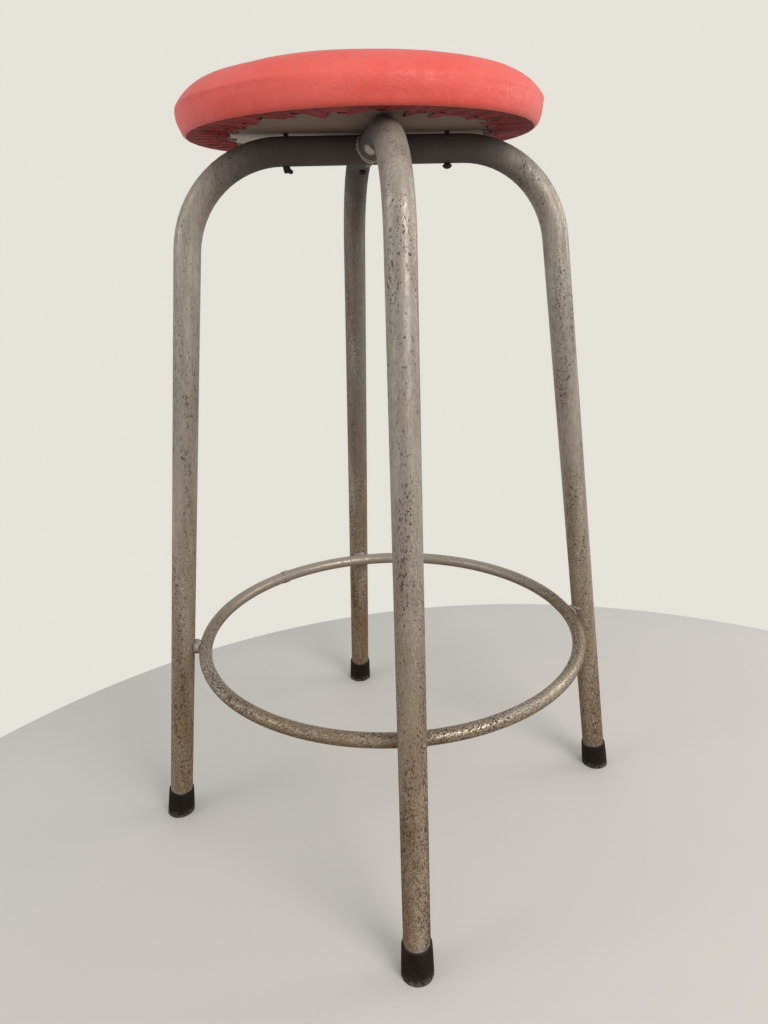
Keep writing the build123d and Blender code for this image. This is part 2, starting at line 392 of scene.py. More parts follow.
def pebble_effect():
    """Height of a fine pressed grain with scratchy lines over it."""
    def build(tree, given):
        inputs = {"Vector": given["Place"], "Scale": given["Scale"], "Smoothness": 0.6}
        cells = put(tree, "ShaderNodeTexVoronoi", inputs, feature="SMOOTH_F1").outputs["Distance"]
        warped = noise(tree, given["Place"], given["Line Scale"], 7.0, 0.68, 1.4)
        lines = maths(tree, "ABSOLUTE", minus(tree, warped, 0.5))
        lines = spread(tree, lines, 0.0, 0.05)
        height = plus(tree, times(tree, cells, 0.35), times(tree, lines, 0.65))
        return {"Height": height, "Lines": lines}
    inputs = [("Place", VECTOR, (0, 0, 0)), ("Scale", FLOAT, 900.0), ("Line Scale", FLOAT, 110.0)]
    return effect("pressed_grain", inputs, [("Height", FLOAT), ("Lines", FLOAT)], build)


def level_effect():
    """Mask that rises with height above the floor."""
    def build(tree, given):
        height = put(tree, "ShaderNodeSeparateXYZ", {"Vector": given["Place"]}).outputs["Z"]
        wander = noise(tree, given["Place"], given["Wander Scale"], 4.0)
        shift = times(tree, minus(tree, wander, 0.5), given["Wander"])
        return {"Mask": spread(tree, plus(tree, height, shift), given["Low"], given["High"])}
    inputs = [("Place", VECTOR, (0, 0, 0)), ("Low", FLOAT, 0.0), ("High", FLOAT, 0.1),
              ("Wander", FLOAT, 0.02), ("Wander Scale", FLOAT, 60.0)]
    return effect("height_mask", inputs, [("Mask", FLOAT)], build)


def round_effect():
    """Coordinates that run round an upright axis: along the circle, out from it and up."""
    def build(tree, given):
        moved = vector_maths(tree, "SUBTRACT", given["Place"], given["Middle"])
        parts = put(tree, "ShaderNodeSeparateXYZ", {"Vector": moved}).outputs
        angle = maths(tree, "ARCTAN2", parts["Y"], parts["X"])
        flat = put(tree, "ShaderNodeCombineXYZ", {"X": parts["X"], "Y": parts["Y"]}).outputs[0]
        out = vector_length(tree, flat)
        along = times(tree, angle, given["Radius"])
        place = put(tree, "ShaderNodeCombineXYZ", {"X": along, "Y": out, "Z": parts["Z"]}).outputs[0]
        return {"Place": place, "Out": out}
    inputs = [("Place", VECTOR, (0, 0, 0)), ("Middle", VECTOR, (0, 0, 0)), ("Radius", FLOAT, 0.2)]
    return effect("round_the_middle", inputs, [("Place", VECTOR), ("Out", FLOAT)], build)


def new_material(name, build):
    """Material with a Principled BSDF, made once; build returns what goes into its inputs."""
    title = f"{name}_finish"
    material = bpy.data.materials.get(title)
    if material:
        return material
    material = bpy.data.materials.new(title)
    material.use_nodes = True
    tree = material.node_tree
    tree.nodes.clear()
    shader = put(tree, "ShaderNodeBsdfPrincipled")
    end = put(tree, "ShaderNodeOutputMaterial")
    tree.links.new(shader.outputs[0], end.inputs["Surface"])
    for key, value in build(tree).items():
        if isinstance(value, bpy.types.NodeSocket):
            tree.links.new(value, shader.inputs[key])
        else:
            shader.inputs[key].default_value = value
    material.diffuse_color = (*list(shader.inputs["Base Color"].default_value)[:3], 1.0)
    return material


def bump(tree, height, distance, strength=1.0):
    inputs = {"Height": height, "Distance": distance, "Strength": strength}
    return put(tree, "ShaderNodeBump", inputs).outputs["Normal"]


# ---- materials ----

def leathercloth(name, hem_shade):
    """Satin coated cloth: fine pressed grain, scratchy lines, faded patches, and painted shade from 0 to 1.
    """
    seat = bpy.context.scene.stool_seat

    def build(tree):
        place = straight_place(tree)
        grain = use(tree, pebble_effect(), Place=place, Scale=1100.0, Line_Scale=85.0)
        coarse = drift(tree, place, 16.0)
        fine = drift(tree, place, 170.0)
        fade = times(tree, coarse, 0.5)
        tone = blend_colours(tree, fade, rgba(seat.cover_colour), rgba(seat.worn_colour))
        specks = times(tree, minus(tree, 1.0, grain["Lines"]), 0.20)
        tone = blend_colours(tree, specks, tone, rgba(seat.worn_colour))
        rough = plus(tree, 0.40, times(tree, fine, 0.12))
        normal = bump(tree, grain["Height"], 0.00030, 0.6)
        finish = {"Roughness": rough, "Normal": normal, "Specular IOR Level": 0.42 - 0.34 * hem_shade,
                  "Sheen Weight": 0.03 * (1 - hem_shade), "Sheen Roughness": 0.5}
        # painted shade on the hem under the seat, streaked round its folds as painted fold shading
        if hem_shade:
            middle = (SEAT_MIDDLE.x, SEAT_MIDDLE.y, 0.0)
            turned = use(tree, round_effect(), Place=place, Middle=middle, Radius=0.15)["Place"]
            radial = vector_maths(tree, "MULTIPLY", turned, (1.0, 0.06, 0.06))
            streaks = drift(tree, radial, 150.0)
            marks = minus(tree, hem_shade, times(tree, streaks, 0.42 * hem_shade))
            tone = blend_colours(tree, marks, tone, rgba(seat.grime_and_shade_colour))
            finish["Roughness"] = plus(tree, rough, 0.25 * hem_shade)
        return {"Base Color": tone, **finish}
    return new_material(name, build)


def backing_cloth():
    """Woven back of the coated cloth, seen only where it is cut."""
    seat = bpy.context.scene.stool_seat

    def build(tree):
        place = straight_place(tree)
        threads = put(tree, "ShaderNodeTexWave", {"Vector": place, "Scale": 900.0, "Distortion": 2.0},
                      wave_type="BANDS", bands_direction="DIAGONAL").outputs["Fac"]
        dirt = drift(tree, place, 160.0)
        tone = blend_colours(tree, dirt, rgba(seat.backing_colour), rgba(seat.grime_and_shade_colour))
        return {"Base Color": tone, "Roughness": 0.9, "Normal": bump(tree, threads, 0.0002)}
    return new_material("cloth_backing", build)


def plywood():
    """Pale grey-washed plywood with brown water marks and open grain, its colour darkened by painted shade
    and paled by painted light towards the left rear.
    """
    seat = bpy.context.scene.stool_seat

    def build(tree):
        place = straight_place(tree)
        long_grain = vector_maths(tree, "MULTIPLY", place, (0.09, 1.0, 1.0))
        grain = noise(tree, long_grain, 420.0, 6.0, 0.65)
        marks = drift(tree, place, 14.0)
        open_grain = times(tree, spread(tree, grain, 0.45, 0.7), 0.4)
        tone = blend_colours(tree, open_grain, rgba(seat.shaded_board_colour), OPEN_GRAIN)
        tone = blend_colours(tree, times(tree, marks, 0.35), tone, WATER_MARK)
        # painted light: the board pales towards the left rear, where light reaches past the tube
        turned = put(tree, "ShaderNodeVectorRotate", {"Vector": place, "Angle": math.radians(-25)},
                     rotation_type="Z_AXIS").outputs[0]
        rearward = put(tree, "ShaderNodeSeparateXYZ", {"Vector": turned}).outputs["Y"]
        wander = times(tree, minus(tree, marks, 0.5), 0.03)
        lit_rear = spread(tree, plus(tree, rearward, wander), 0.020, 0.070)
        tone = blend_colours(tree, times(tree, lit_rear, 0.8), tone, rgba(seat.lit_board_colour))
        return {"Base Color": tone, "Roughness": 0.85, "Normal": bump(tree, grain, 0.0004, 0.6),
                "Specular IOR Level": 0.08}
    return new_material("grey_washed_plywood", build)


def foam():
    seat = bpy.context.scene.stool_seat

    def build(tree):
        place = straight_place(tree)
        cells = put(tree, "ShaderNodeTexVoronoi", {"Vector": place, "Scale": 700.0}).outputs["Distance"]
        aged = drift(tree, place, 30.0)
        tone = blend_colours(tree, aged, rgba(seat.foam_colour), AGED_FOAM)
        return {"Base Color": tone, "Roughness": 0.95, "Normal": bump(tree, cells, 0.0006)}
    return new_material("upholstery_foam", build)


def painted_highlight_spot(tree, straight, mottle):
    """Mask of the one painted highlight beside the crossing, under the front tube."""
    apart = vector_maths(tree, "SUBTRACT", straight, HIGHLIGHT_SPOT)
    apart = vector_length(tree, vector_maths(tree, "MULTIPLY", apart, (1.0, 0.32, 1.0)))
    ragged = plus(tree, apart, times(tree, mottle, 0.0022))
    return times(tree, spread(tree, ragged, 0.0074, 0.0050), 0.85)


def steel(name, grain, pitting, base, ring=False, shine=0.0):
    """Dulled plated steel: cloudy, pitted and specked, and warmer near the floor, partly yellowed plating and
    partly a painted warm reflection.

    The legs carry painted shade from the seat near the crossing, and the ring is cleaner towards the rear."""
    metal = bpy.context.scene.stool_frame

    def build(tree):
        straight = straight_place(tree)
        middle = RING_MIDDLE if ring else (0.0, 0.0, 0.0)
        radius = (RING_HIGH.x - RING_LOW.x) / 2
        circle = use(tree, round_effect(), Place=straight, Middle=middle, Radius=radius)
        place = circle["Place"] if ring else straight
        above = use(tree, level_effect(), Place=straight, Low=0.05, High=0.52, Wander=0.08,
                    Wander_Scale=18.0)["Mask"]
        near_floor = minus(tree, 1.0, above)
        amount = plus(tree, pitting * 0.3, times(tree, near_floor, pitting * 1.4))
        pits = use(tree, pits_effect(), Place=place, Grain=grain, Fleck_Grain=[g ** 0.28 for g in grain],
                   Streak_Scale=60.0, Fleck_Scale=600.0, Amount=amount)
        clouds = drift(tree, straight, 22.0)
        brushed = vector_maths(tree, "MULTIPLY", place, [g ** 0.6 for g in grain])
        mottle = drift(tree, brushed, 520.0)
        moved = vector_maths(tree, "ADD", place, (0.31, 0.17, 0.23))
        specks = use(tree, pits_effect(), Place=moved, Grain=grain, Fleck_Grain=(1.2, 1.2, 1.0),
                     Streak_Scale=50.0, Fleck_Scale=760.0, Amount=plus(tree, amount, 0.1))["Mask"]
        wear = pits["Mask"]
        dark, warm = rgba(metal.dark_steel_colour), rgba(metal.warm_steel_colour)
        bright, rust = rgba(metal.bright_colour), rgba(metal.rust_colour)
        tone = blend_colours(tree, times(tree, clouds, 0.22), rgba(base), warm)
        # near the floor the warm tone is partly yellowed plating and partly a painted warm reflection
        layers = ((mottle, 0.30, dark), (pits["Streak"], 0.24, dark), (near_floor, 0.80, warm),
                  (specks, 0.7, bright), (wear, 0.85, rust))
        for mask, strength, over in layers:
            tone = blend_colours(tree, times(tree, mask, strength), tone, over)
        if ring:
            painted_seat_shade = 0.0
            rearward = put(tree, "ShaderNodeSeparateXYZ", {"Vector": straight}).outputs["Y"]
            cleaner = times(tree, spread(tree, rearward, 0.0, 0.17), 0.6)
            tone = blend_colours(tree, cleaner, tone, rgba(metal.steel_colour))
        else:
            # painted shade: tubes close under the seat are darkened, roughened and dulled as if shaded by it
            painted_seat_shade = minus(tree, 1.0, spread(tree, circle["Out"], 0.095, 0.175))
            tone = blend_colours(tree, times(tree, painted_seat_shade, 0.9), tone, dark)
            # painted highlight under the front tube, beside its screw
            tone = blend_colours(tree, painted_highlight_spot(tree, straight, mottle), tone, bright)
        rough = plus(tree, 0.38 - shine, times(tree, mottle, 0.14))
        rough = plus(tree, rough, times(tree, wear, 0.35))
        rough = plus(tree, rough, times(tree, painted_seat_shade, 0.45))
        metallic = minus(tree, 0.45, times(tree, wear, 0.35))
        metallic = maths(tree, "SUBTRACT", metallic, times(tree, painted_seat_shade, 0.35), clamp=True)
        height = minus(tree, times(tree, mottle, 0.35), wear)
        return {"Base Color": tone, "Roughness": rough, "Metallic": metallic, "Specular IOR Level": 0.35,
                "Normal": bump(tree, height, 0.0002, 0.7)}
    return new_material(name, build)


def ring_finish():
    metal = bpy.context.scene.stool_frame
    return steel("worn_steel", (0.10, 1.0, 1.0), metal.pitting, metal.ring_colour, ring=True, shine=0.12)


def weld_metal():
    metal = bpy.context.scene.stool_frame

    def build(tree):
        place = straight_place(tree)
        burnt = drift(tree, place, 190.0)
        lumps = drift(tree, place, 620.0)
        weld, dark = rgba(metal.weld_colour), rgba(metal.dark_steel_colour)
        tone = blend_colours(tree, times(tree, burnt, 0.45), weld, dark)
        tone = blend_colours(tree, times(tree, lumps, 0.3), tone, rgba(metal.bright_colour))
        rough = plus(tree, 0.34, times(tree, burnt, 0.25))
        return {"Base Color": tone, "Roughness": rough, "Metallic": 0.5, "Normal": bump(tree, lumps, 0.0003)}
    return new_material("weld_bead", build)


def plain_steel(name, base, stain, roughness):
    def build(tree):
        place = straight_place(tree)
        spots = drift(tree, place, 420.0)
        tone = blend_colours(tree, spots, rgba(base), rgba(stain))
        rough = plus(tree, roughness, times(tree, spots, 0.25))
        return {"Base Color": tone, "Roughness": rough, "Metallic": 0.8,
                "Normal": bump(tree, spots, 0.0002, 0.7)}
    return new_material(name, build)


def rubber():
    """Black moulded rubber, dusty and scuffed round the sole."""
    metal = bpy.context.scene.stool_frame

    def build(tree):
        place = straight_place(tree)
        fine = drift(tree, place, 330.0)
        patches = drift(tree, place, 75.0)
        above = use(tree, level_effect(), Place=place, Low=0.0, High=0.009, Wander=0.012,
                    Wander_Scale=210.0)["Mask"]
        scuff = times(tree, minus(tree, 1.0, above), fine)
        dust = plus(tree, times(tree, scuff, 0.95), times(tree, patches, 0.04))
        tone = blend_colours(tree, dust, rgba(metal.rubber_colour), rgba(metal.dust_colour))
        rough = plus(tree, 0.46, times(tree, dust, 0.4))
        return {"Base Color": tone, "Roughness": rough, "Normal": bump(tree, fine, 0.00025, 0.8),
                "Specular IOR Level": 0.3}
    return new_material("black_rubber", build)


# ---- the upholstered seat ----

class Cover:
    """Shape of the cover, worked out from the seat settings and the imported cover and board."""

    CROWN_CELLS = 60         # cells along one side of the crown's grid
    BAND_ROWS = 7
    HEM_ROWS = 8
    SUBDIVISIONS = 2
    FRAMES = 16              # length of the cloth simulation
    REST_DROP = 0.0012       # how far the middle starts below its place, to swell back up
    MOST_SWELL = 0.003       # furthest that a point may travel
    PROUD = (-0.0002, 0.0006)      # how far the swollen cloth may stand from the drawn profile

    def __init__(self, seat):
        self.seat = seat
        self.middle = Vector((SEAT_MIDDLE.x, SEAT_MIDDLE.y, 0.0))
        self.rim_z = COVER_LOW.z
        self.fold_z = self.rim_z + seat.band_height
        self.top_z = COVER_HIGH.z
        self.board_z = BOARD_LOW.z
        self.rim_radius = seat.seat_radius - seat.rim_inset
        self.hem_radius = self.rim_radius - seat.hem_depth
        random = np.random.default_rng(11)
        self.pleat_heights = random.uniform(0.35, 1.0, seat.pleats)
        random.uniform(size=seat.pleats)      # passed over, so that the draws below stay the same
        self.snip_depths = random.uniform(0.35, 1.0, seat.snips)
        self.flap_leans = random.uniform(0.25, 0.75, seat.snips)
        self.random = random

    def crown_profile(self):
        """Points (radius, height) from the middle down to the widest line."""
        seat = self.seat
        turn = seat.crown_radius
        turn_z = self.top_z - seat.crown_rise
        slope = -2 * seat.crown_rise / turn
        flat = [(r, self.top_z - seat.crown_rise * (r / turn) ** 2) for r in np.linspace(0.0, turn, 40)]
        reach = (seat.seat_radius - turn) * 0.52
        start, end = Vector((turn, turn_z)), Vector((seat.seat_radius, self.fold_z))
        rise = math.radians(seat.shoulder_slope)
        handles = (start + Vector((reach, reach * slope)),
                   end + Vector((-math.cos(rise), math.sin(rise))) * (turn_z - self.fold_z) * 0.5)
        curve = interpolate_bezier(start, *handles, end, 30)
        return np.array(flat + [tuple(p) for p in curve[1:]])

    @staticmethod
    def even(profile, steps):
        """The same line with its points evenly spaced."""
        gaps = np.hypot(*np.diff(profile, axis=0).T)
        run = np.concatenate([[0.0], np.cumsum(gaps)])
        wanted = np.linspace(0.0, run[-1], steps + 1)
        return np.stack([np.interp(wanted, run, profile[:, k]) for k in (0, 1)], axis=1)

    def band_profile(self):
        """Points from the widest line in to the rim and round under it."""
        seat = self.seat
        start = Vector((seat.seat_radius, self.fold_z))
        end = Vector((self.rim_radius - RIM_ROUND, self.rim_z))
        drop = seat.band_height
        curve = interpolate_bezier(start, start - Vector((0.0, drop * 0.35)),
                                   Vector((self.rim_radius + 0.0016, self.rim_z + 0.0002)), end, 40)
        return self.even(np.array([tuple(p) for p in curve]), self.BAND_ROWS)[1:]

    def hem_profile(self):
        """Points along the underside to the cut edge, and up into the board."""
        radii = np.linspace(self.rim_radius - RIM_ROUND, self.hem_radius, self.HEM_ROWS + 1)[1:]
        flat = [(r, self.rim_z) for r in radii]
        return np.array(flat + [(self.hem_radius, self.board_z + EDGE_SINK)])

    def blank(self):
        """Coarse cover: a grid for the crown, then rows down the band and in under the board."""
        cells = self.CROWN_CELLS
        crown = self.even(self.crown_profile(), cells // 2)
        verts, runs, index = [], [], {}
        half = cells // 2
        for i in range(cells + 1):
            for j in range(cells + 1):
                u, v = (i - half) / half, (j - half) / half
                size = max(abs(u), abs(v))
                if size == 0:
                    angle = 0.0
                elif abs(u) >= abs(v):
                    angle = math.pi / 4 * (v / u) + (math.pi if u < 0 else 0.0)
                else:
                    angle = math.pi / 2 - math.pi / 4 * (u / v) + (math.pi if v < 0 else 0.0)
                r = np.interp(size * half, np.arange(half + 1), crown[:, 0])
                z = np.interp(size * half, np.arange(half + 1), crown[:, 1])
                index[i, j] = len(verts)
                verts.append((r * math.cos(angle), r * math.sin(angle), z))
                runs.append(size)
        faces = [(index[i, j], index[i + 1, j], index[i + 1, j + 1], index[i, j + 1])
                 for i in range(cells) for j in range(cells)]
        edge = [index[cells, j] for j in range(cells)] + [index[cells - i, cells] for i in range(cells)]
        edge += [index[0, cells - j] for j in range(cells)] + [index[i, 0] for i in range(cells)]
        rows = np.concatenate([self.band_profile(), self.hem_profile()])
        angles = [math.atan2(verts[k][1], verts[k][0]) for k in edge]
        for number, (r, z) in enumerate(rows):
            ring = list(range(len(verts), len(verts) + len(edge)))
            verts += [(r * math.cos(a), r * math.sin(a), z) for a in angles]
            runs += [2.0 + number] * len(edge)
            for k, below in enumerate(ring):
                after = (k + 1) % len(ring)
                faces.append((edge[k], below, ring[after], edge[after]))
            edge = ring
        obj = mesh_object("seat_upholstery", [Vector(v) + self.middle for v in verts], faces)
        store = obj.data.attributes.new("run", "FLOAT", "POINT")
        store.data.foreach_set("value", runs)
        return obj

    def inflate(self, obj):
        """Let the cloth swell over its foam: the band's foot and the hem stay stapled down."""
        points = read_points(obj.data)
        start = points.copy()
        start[:, 2] -= self.REST_DROP * smoothstep(self.fold_z, self.top_z, points[:, 2])
        write_points(obj.data, start)
        pins = obj.vertex_groups.new(name="stapled")
        held = 1 - smoothstep(self.rim_z + 0.004, self.rim_z + 0.014, points[:, 2])
        for number, weight in enumerate(held):
            if weight > 0:
                pins.add([number], float(weight), "REPLACE")
        cloth = obj.modifiers.new("swell", "CLOTH")
        cloth.settings.vertex_group_mass = pins.name
        cloth.settings.quality = 6
        cloth.settings.tension_stiffness = 25
        cloth.settings.compression_stiffness = 12
        cloth.settings.bending_stiffness = 0.4
        cloth.settings.shrink_min = -0.002
        cloth.settings.use_pressure = True
        cloth.settings.uniform_pressure_force = 3.0
        cloth.settings.effector_weights.gravity = 0.0
        scene = bpy.context.scene
        for number in range(1, self.FRAMES + 1):
            scene.frame_set(number)
        apply_modifiers(obj)
        scene.frame_set(1)
        moved = read_points(obj.data) - start
        size = np.linalg.norm(moved, axis=1, keepdims=True)
        moved *= np.minimum(1.0, self.MOST_SWELL / np.maximum(size, 1e-9))
        swollen = start + moved
        away = vertex_normals(obj.data)
        proud = ((swollen - points) * away).sum(axis=1)
        write_points(obj.data, swollen + away * (np.clip(proud, *self.PROUD) - proud)[:, None])

    def pleat(self, angle, depth):
        """Height of the hem's folds, 0 to 1, at angles and depths (0 at the rim, 1 at the cut edge)."""
        count = self.seat.pleats
        turn = (angle + 0.10 * depth + 0.03 * np.sin(5 * angle + 1.0)) / TAU % 1.0 * count
        number = np.floor(turn).astype(int) % count
        within = turn - np.floor(turn)
        tall = self.pleat_heights[number]
        slope = within ** 1.3 * (1 - smoothstep(0.84, 1.0, within))
        return tall * slope

    def hem_edge(self, angle):
        """Radius of the snipped edge at each angle: pointed flaps, longest at the front."""
        seat = self.seat
        front = np.exp(-((angle + math.pi / 2) / 1.15) ** 4)
        beside_leg = 1 - np.exp(-((angle + math.pi / 2) / 0.17) ** 4)
        base = self.hem_radius + 0.0025 * np.sin(3 * angle + 0.7) + 0.0015 * np.sin(8 * angle)
        count = seat.snips
        turn = (angle + 0.06 * np.sin(4 * angle)) / TAU % 1.0 * count
        number = np.floor(turn).astype(int) % count
        within = turn - np.floor(turn)
        lean = self.flap_leans[number]
        flap = np.where(within < lean, within / lean, (1 - within) / (1 - lean))
        reach = seat.snip_depth * (0.30 + 0.95 * front * beside_leg) * self.snip_depths[number]
        return base + 0.009 * front - reach * flap ** 1.3 + 0.006

    def hem_height(self, angle, depth):
        """Height of the hem's outer face at an angle and a depth from rim to cut edge."""
        rest = self.board_z - self.seat.cover_thickness
        base = self.rim_z + (rest - self.rim_z) * smoothstep(0.0, 0.55, depth)
        fold = self.seat.pleat_height * self.pleat(angle, depth) * smoothstep(0.02, 0.55, depth)
        return base - fold

    def soft_fold(self, angle, height):
        """Ridge and valley of the fold between crown and band, broken in places."""
        line = self.fold_z + 0.0008 + 0.0006 * np.sin(3 * angle + 0.4)
        strong = 0.55 + 0.45 * lattice_noise(np.stack([angle * 3.2, angle * 0, angle * 0 + 4], 1), 7)
        ridge = np.exp(-((height - line) / 0.0014) ** 2) * 0.00085 * strong
        valley = np.exp(-((height - line + 0.0042) / 0.0026) ** 2) * 0.00035 * strong
        return ridge - valley

    def press_creases(self, out, across, height, band):
        """Press small slanting creases into the band, more of them at the front."""
        seat, random = self.seat, self.random
        for _ in range(seat.creases):
            at_front = random.random() < 0.6
            middle = random.normal(-1.30, 0.42) if at_front else random.uniform(-3.1, 3.1)
            middle_z = self.rim_z + random.uniform(0.003, 0.024)
            lean = random.normal(-0.80, 0.35)
            half = random.uniform(0.0012, 0.0036)
            wide = random.uniform(0.0005, 0.0008)
            deep = seat.crease_depth * random.uniform(0.3, 1.0)
            near = np.abs(across - middle * seat.seat_radius) < 0.012
            dx = across[near] - middle * seat.seat_radius
            dz = height[near] - middle_z
            along = dx * math.cos(lean) + dz * math.sin(lean)
            aside = dz * math.cos(lean) - dx * math.sin(lean) + 12.0 * along * along
            cut = np.exp(-(aside / wide) ** 2) - 0.6 * np.exp(-((aside - 2.1 * wide) / wide) ** 2)
            out[near] -= deep * cut * np.exp(-(along / half) ** 4) * band[near]

    def fold_hem(self, points, run, radius, angle, height):
        """Spread the hem's rows between the rim and the snipped edge, and fold them."""
        rim = self.rim_radius - RIM_ROUND
        under = run > 1.5 + self.BAND_ROWS
        depth = np.clip((rim - radius) / (rim - self.hem_radius), 0.0, 1.0)
        new_radius = rim - depth * (rim - self.hem_edge(angle))
        flat = self.hem_height(angle, depth)
        wall = smoothstep(self.rim_z + 0.0003, self.board_z + 0.0004, height)
        edge_row = depth > 0.97
        new_z = np.where(edge_row, flat + (self.board_z + EDGE_SINK - flat) * wall, flat)
        ease = smoothstep(1.0 + self.BAND_ROWS, 2.4 + self.BAND_ROWS, run)
        points[:, 0] = np.where(under, np.cos(angle) * new_radius, points[:, 0])
        points[:, 1] = np.where(under, np.sin(angle) * new_radius, points[:, 1])
        points[:, 2] = np.where(under, points[:, 2] + (new_z - points[:, 2]) * ease, points[:, 2])

    def shape(self, obj):
        """Work the creases, folds and snipped edge into the fine mesh."""
        mesh = obj.data
        points = read_points(mesh) - np.array(self.middle)
        run = np.empty(len(points))
        mesh.attributes["run"].data.foreach_get("value", run)
        radius = np.hypot(points[:, 0], points[:, 1])
        angle = np.arctan2(points[:, 1], points[:, 0])
        across = angle * self.seat.seat_radius
        height = points[:, 2].copy()
        outward = np.stack([np.cos(angle), np.sin(angle), np.zeros(len(angle))], axis=1)

        # crown: slow unevenness and shallow hollows
        lumps = lattice_noise(points / 0.070, 3) * 0.0004 + lattice_noise(points / 0.021, 5) * 0.00010
        points[:, 2] += lumps * (1 - smoothstep(0.9, 1.0, run))

        # side: the fold line, then creases and slow waves on the band
        under_rim = smoothstep(0.5 + self.BAND_ROWS, 1.5 + self.BAND_ROWS, run)
        side = smoothstep(0.80, 0.95, run) * (1 - under_rim)
        out = self.soft_fold(angle, height) * side
        band = smoothstep(self.rim_z + 0.001, self.rim_z + 0.004, height)
        band = band * (1 - smoothstep(self.fold_z + 0.009, self.fold_z + 0.013, height)) * side
        self.press_creases(out, across, height, band)
        out += lattice_noise(np.stack([across / 0.035, height / 0.016, angle * 0], 1), 9) * 0.00030 * band

        # the foot of the band scallops where the folds start under it
        foot = 1 - smoothstep(self.rim_z, self.rim_z + 0.008, height)
        out += 0.0007 * (self.pleat(angle, 0.0) - 0.4) * foot * smoothstep(2.0, 5.0, run)
        points += outward * out[:, None]

        self.fold_hem(points, run, radius, angle, height)
        write_points(mesh, points + np.array(self.middle))

    def close(self, obj):
        """Close the cover inside the board; its cut edge and its hem take their own materials."""
        work = bmesh.new()
        work.from_mesh(obj.data)
        run = work.verts.layers.float["run"]
        last = 2.0 + self.BAND_ROWS + self.HEM_ROWS
        for face in work.faces:
            nearest = min(v[run] for v in face.verts)
            if nearest > last - 1.01:
                face.material_index = 1
            elif nearest > 0.9 + self.BAND_ROWS:
                # the hem under the board takes the cloth with painted shade
                face.material_index = 2
        open_edges = [e for e in work.edges if e.is_boundary]
        bmesh.ops.holes_fill(work, edges=open_edges, sides=0)
        bmesh.ops.recalc_face_normals(work, faces=work.faces)
        work.to_mesh(obj.data)
        work.free()


def make_cover(seat):
    cover = Cover(seat)
    obj = cover.blank()
    cover.inflate(obj)
    finer = obj.modifiers.new("finer", "SUBSURF")
    finer.levels = cover.SUBDIVISIONS
    finer.render_levels = cover.SUBDIVISIONS
    apply_modifiers(obj)
    cover.shape(obj)
    stand_off(obj, "seat_foam", FOAM_GAP)
    obj.data.materials.clear()
    obj.data.materials.append(leathercloth("coral_leathercloth", 0.0))
    obj.data.materials.append(backing_cloth())
    # cloth with painted shade, for the hem under the seat
    obj.data.materials.append(leathercloth("shaded_hem_leathercloth", 0.9))
    cover.close(obj)
    finish_piece(obj, "coral_leathercloth", "seat_cover")
    return cover


def tube_rings(path, radius, sides):
    """Vertices and faces of a round wire along a path, with capped ends."""
    verts, faces = [], []
    count = len(path)
    reference = None
    for k, point in enumerate(path):
        ahead = path[min(k + 1, count - 1)] - path[max(k - 1, 0)]
        ahead = ahead.normalized()
        if reference is None:
            reference = ahead.orthogonal().normalized()
        reference = (reference - ahead * reference.dot(ahead)).normalized()
        second = ahead.cross(reference)
        for s in range(sides):
            a = TAU * s / sides
            verts.append(point + (reference * math.cos(a) + second * math.sin(a)) * radius)
    for k in range(count - 1):
        for s in range(sides):
            t = (s + 1) % sides
            faces.append((k * sides + s, k * sides + t, (k + 1) * sides + t, (k + 1) * sides + s))
    faces.append(tuple(reversed(range(sides))))
    faces.append(tuple((count - 1) * sides + s for s in range(sides)))
    return verts, faces


def staple_path(middle, side):
    """Bent wire: up one leg's end, round both corners and up the other."""
    corner, leg = 0.0011, 0.0035
    up = Vector((0.0, 0.0, 1.0))
    path = [middle - side * STAPLE_HALF + up * leg]
    for way, steps in ((-1, range(5)), (1, range(4, -1, -1))):
        for k in steps:
            a = math.pi / 2 * k / 4
            out = STAPLE_HALF - corner + corner * math.cos(a)
            path.append(middle + side * out * way + up * corner * (1 - math.sin(a)))
    path.append(middle + side * STAPLE_HALF + up * leg)
    return path


def make_staples(cover):
    """Wire staples across the hem, each a little askew, with its crown on the folds."""
    random = np.random.default_rng(23)
    wire = 0.00055
    verts, faces = [], []
    for number in range(cover.seat.staples):
        angle = -math.pi + TAU * (number + random.uniform(-0.25, 0.25)) / cover.seat.staples
        edge = float(cover.hem_edge(np.array([angle]))[0])
        radius = max(edge + random.uniform(0.004, 0.009), cover.rim_radius - 0.030)
        depth = (cover.rim_radius - radius) / (cover.rim_radius - edge)
        reach = STAPLE_HALF / radius
        heights = cover.hem_height(np.linspace(angle - reach, angle + reach, 7), np.full(7, depth))
        z = float(heights.mean()) - wire * 0.2
        middle = cover.middle + Vector((radius * math.cos(angle), radius * math.sin(angle), z))
        turn = angle + math.pi / 2 + random.uniform(-0.35, 0.35)
        side = Vector((math.cos(turn), math.sin(turn), 0.0))
        more_verts, more_faces = tube_rings(staple_path(middle, side), wire, 8)
        faces += [tuple(k + len(verts) for k in face) for face in more_faces]
        verts += more_verts
    obj = mesh_object("hem_staple_row", verts, faces)
    obj.data.materials.append(plain_steel("staple_wire", *STAPLE_COLOURS, 0.6))
    finish_piece(obj, "staple_wire", "hem_staples")


# ---- welds ----

def roughen(obj, lumps, seed):
    """Even out a closed mesh, push it about by small noise and melt the result."""
    remesh = obj.modifiers.new("even", "REMESH")
    remesh.mode = "VOXEL"
    remesh.voxel_size = 0.0006
    apply_modifiers(obj)
    points = read_points(obj.data)
    swell = lattice_noise(points / 0.0042, seed) * 0.6 + lattice_noise(points / 0.0019, seed + 1) * 0.3
    write_points(obj.data, points + vertex_normals(obj.data) * ((swell - 0.35) * lumps)[:, None])
    smooth = obj.modifiers.new("melt", "SMOOTH")
    smooth.factor = 0.5
    smooth.iterations = 2
    apply_modifiers(obj)
    obj.data.materials.clear()


